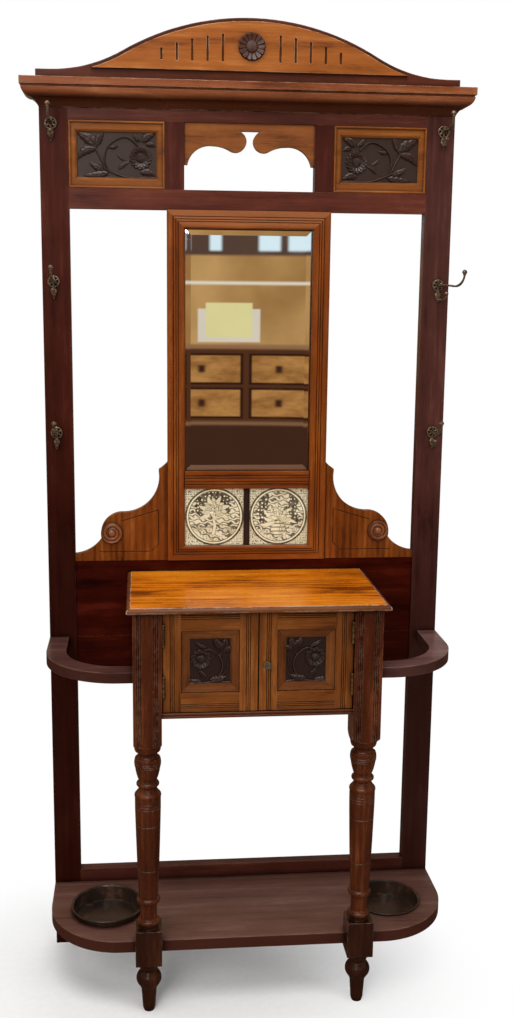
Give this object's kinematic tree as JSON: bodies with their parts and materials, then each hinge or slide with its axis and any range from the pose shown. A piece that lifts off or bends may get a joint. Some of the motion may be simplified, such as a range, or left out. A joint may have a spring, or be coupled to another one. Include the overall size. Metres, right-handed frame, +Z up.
{
  "type": "hall stand",
  "caption": "Tall hall stand: framed mirror and tiles over a small two-door cupboard on turned legs, coat hooks on both stiles, umbrella rings and drip pans at both sides.",
  "frame": {"origin": "on the floor, in the middle of the stand's width and of its depth", "axes": "+Z up, +X to the right of a person facing the mirror, +Y towards the wall"},
  "size_m": [1.082, 0.391, 2.3529],
  "materials": {
    "dark_mahogany": "french polished, worn at the edges",
    "golden_mahogany": "french polished, faded golden",
    "honey_mahogany": "glossy, sun faded",
    "ebonised_carving": "dark stained, dull gloss",
    "plain_pine": "unfinished",
    "mirror": "silvered plate glass",
    "printed_tile": "glazed, brown print",
    "antique_brass": "bronzed, worn high spots",
    "worn_brass": "aged",
    "japanned_iron": "black-brown enamel, worn rim"
  },
  "bodies": {
    "root": {"apron": "golden_mahogany", "back_board": "dark_mahogany", "bottom_rail": "dark_mahogany", "cabinet_bead_rail": "golden_mahogany", "cabinet_floor": "plain_pine", "cabinet_sides": "golden_mahogany", "cabinet_top": "honey_mahogany", "cornice_cap": "dark_mahogany", "cornice_front": "dark_mahogany", "cornice_returns": "dark_mahogany", "door_stop": "plain_pine", "frame_backboards": "plain_pine", "frieze_mouldings": "golden_mahogany", "frieze_rail": "dark_mahogany", "hinge_pins": "worn_brass", "hook_screws": "antique_brass", "left_bracket": "golden_mahogany", "left_frieze_carving": "ebonised_carving", "left_hooks": "antique_brass", "left_leg": "dark_mahogany", "left_stile": "dark_mahogany", "left_tile": "printed_tile", "left_umbrella_ring": "dark_mahogany", "lower_back_board": "dark_mahogany", "mirror_glass": "mirror", "mirror_rails": "golden_mahogany", "mirror_stiles": "golden_mahogany", "mirror_transom": "golden_mahogany", "muntins": "dark_mahogany", "pediment_board": "dark_mahogany", "post_hinge_leaves": "worn_brass", "right_bracket": "golden_mahogany", "right_frieze_carving": "ebonised_carving", "right_hooks": "antique_brass", "right_leg": "dark_mahogany", "right_stile": "dark_mahogany", "right_tile": "printed_tile", "right_umbrella_ring": "dark_mahogany", "scroll_bosses": "golden_mahogany", "shelf": "dark_mahogany", "tile_divider": "dark_mahogany", "top_rail": "dark_mahogany", "tympanum_panel": "golden_mahogany", "tympanum_rosette": "dark_mahogany"},
    "left_door": {"left_door_frame": "golden_mahogany", "left_door_moulding": "golden_mahogany", "left_door_carving": "ebonised_carving", "left_door_hinge_leaves": "worn_brass"},
    "right_door": {"right_door_frame": "golden_mahogany", "right_door_moulding": "golden_mahogany", "right_door_carving": "ebonised_carving", "right_door_hinge_leaves": "worn_brass", "lock_case": "worn_brass", "key_escutcheon": "worn_brass"},
    "door_key": {"door_key": "worn_brass"},
    "lock_bolt": {"lock_bolt": "worn_brass"},
    "left_drip_pan": {"left_drip_pan": "japanned_iron"},
    "right_drip_pan": {"right_drip_pan": "japanned_iron"}
  },
  "joints": [
    {"name": "left_door_hinge", "type": "hinge", "parent": "root", "child": "left_door", "pos_m": [-0.219, -0.168, 0.8855], "axis": [0, 0, -1], "range_deg": [0, 105]},
    {"name": "right_door_hinge", "type": "hinge", "parent": "root", "child": "right_door", "pos_m": [0.219, -0.168, 0.8855], "axis": [0, 0, 1], "range_deg": [0, 105]},
    {"name": "key_turn", "type": "hinge", "parent": "right_door", "child": "door_key", "pos_m": [0.02, -0.1645, 0.8765], "axis": [0, 1, 0], "range_deg": [0, 90]},
    {"name": "bolt_throw", "type": "slide", "parent": "right_door", "child": "lock_bolt", "axis": [-1, 0, 0], "range_m": [0, 0.0101]},
    {"name": "left_pan_lift", "type": "slide", "parent": "root", "child": "left_drip_pan", "axis": [0, 0, 1], "range_m": [0, 0.08]},
    {"name": "right_pan_lift", "type": "slide", "parent": "root", "child": "right_drip_pan", "axis": [0, 0, 1], "range_m": [0, 0.08]}
  ],
  "couplings": [
    {"joint": "bolt_throw", "follows": "key_turn", "m_per_rad": 0.0063662}
  ]
}
